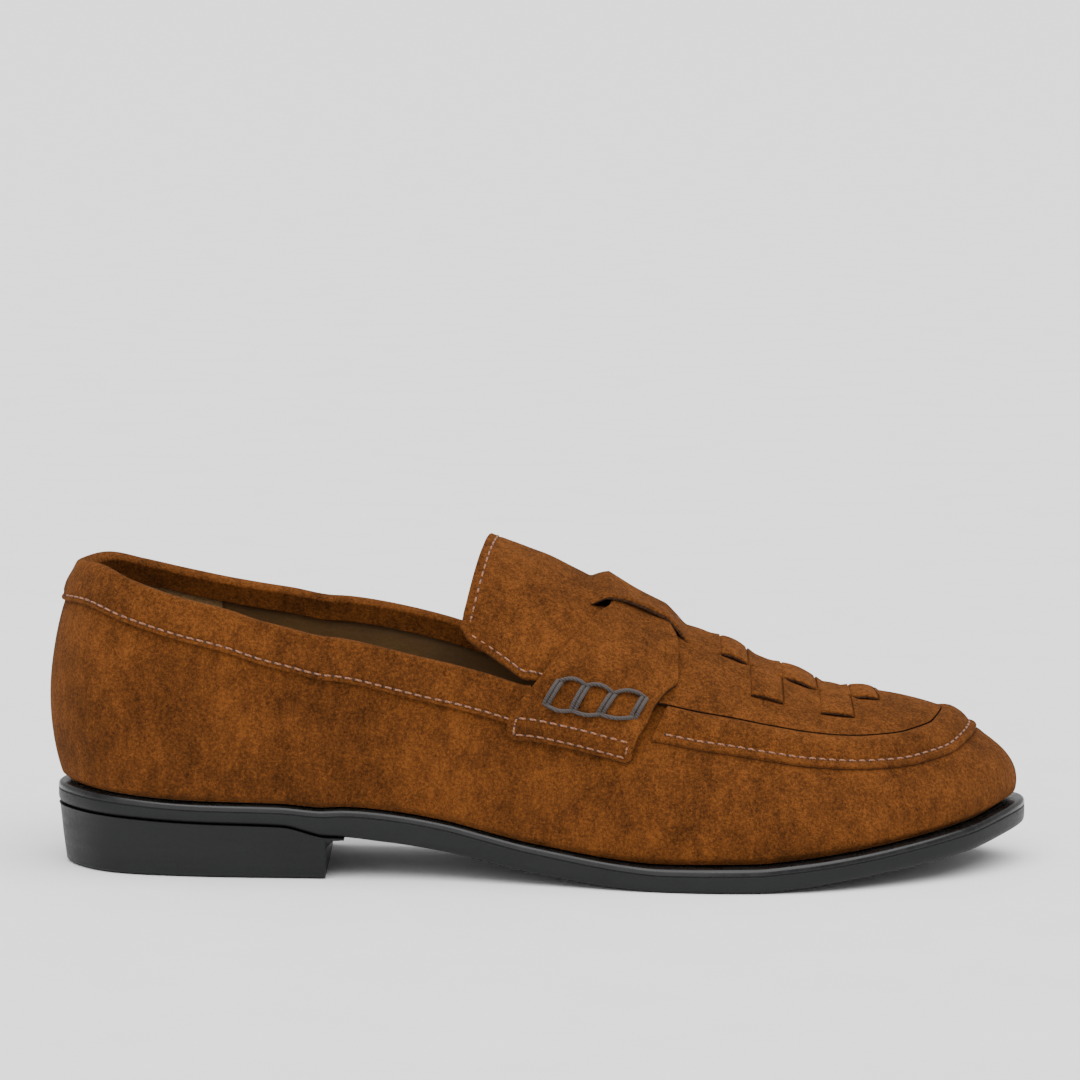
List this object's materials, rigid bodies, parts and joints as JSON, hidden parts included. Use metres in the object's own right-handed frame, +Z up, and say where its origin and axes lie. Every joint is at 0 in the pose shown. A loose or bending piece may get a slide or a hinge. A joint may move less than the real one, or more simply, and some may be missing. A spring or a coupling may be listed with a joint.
{
  "type": "loafer",
  "caption": "Suede penny-style loafer with a woven plug, raised apron band, laced saddle strap and a low block heel, right foot.",
  "frame": {"origin": "centre of the bounding box at the floor, under the middle of the foot", "axes": "+X towards the toe, +Y towards the inner side of the right foot, +Z up from the floor the shoe stands on"},
  "size_m": [0.2649, 0.0911, 0.0892],
  "materials": {
    "suede": "warm brown suede with a soft nap",
    "sole_rubber": "near-black, semi-matt with a glossy edge",
    "lining_leather": "smooth tan lining leather",
    "waxed_cord": "dark waxed cord"
  },
  "bodies": {
    "root": {"outsole": "sole_rubber", "heel": "sole_rubber", "insole": "lining_leather", "upper": "suede", "collar": "suede", "plug_and_tongue": "suede", "apron_band": "suede", "saddle_strap": "suede", "lacing_outer": "waxed_cord", "lacing_inner": "waxed_cord"}
  },
  "joints": []
}
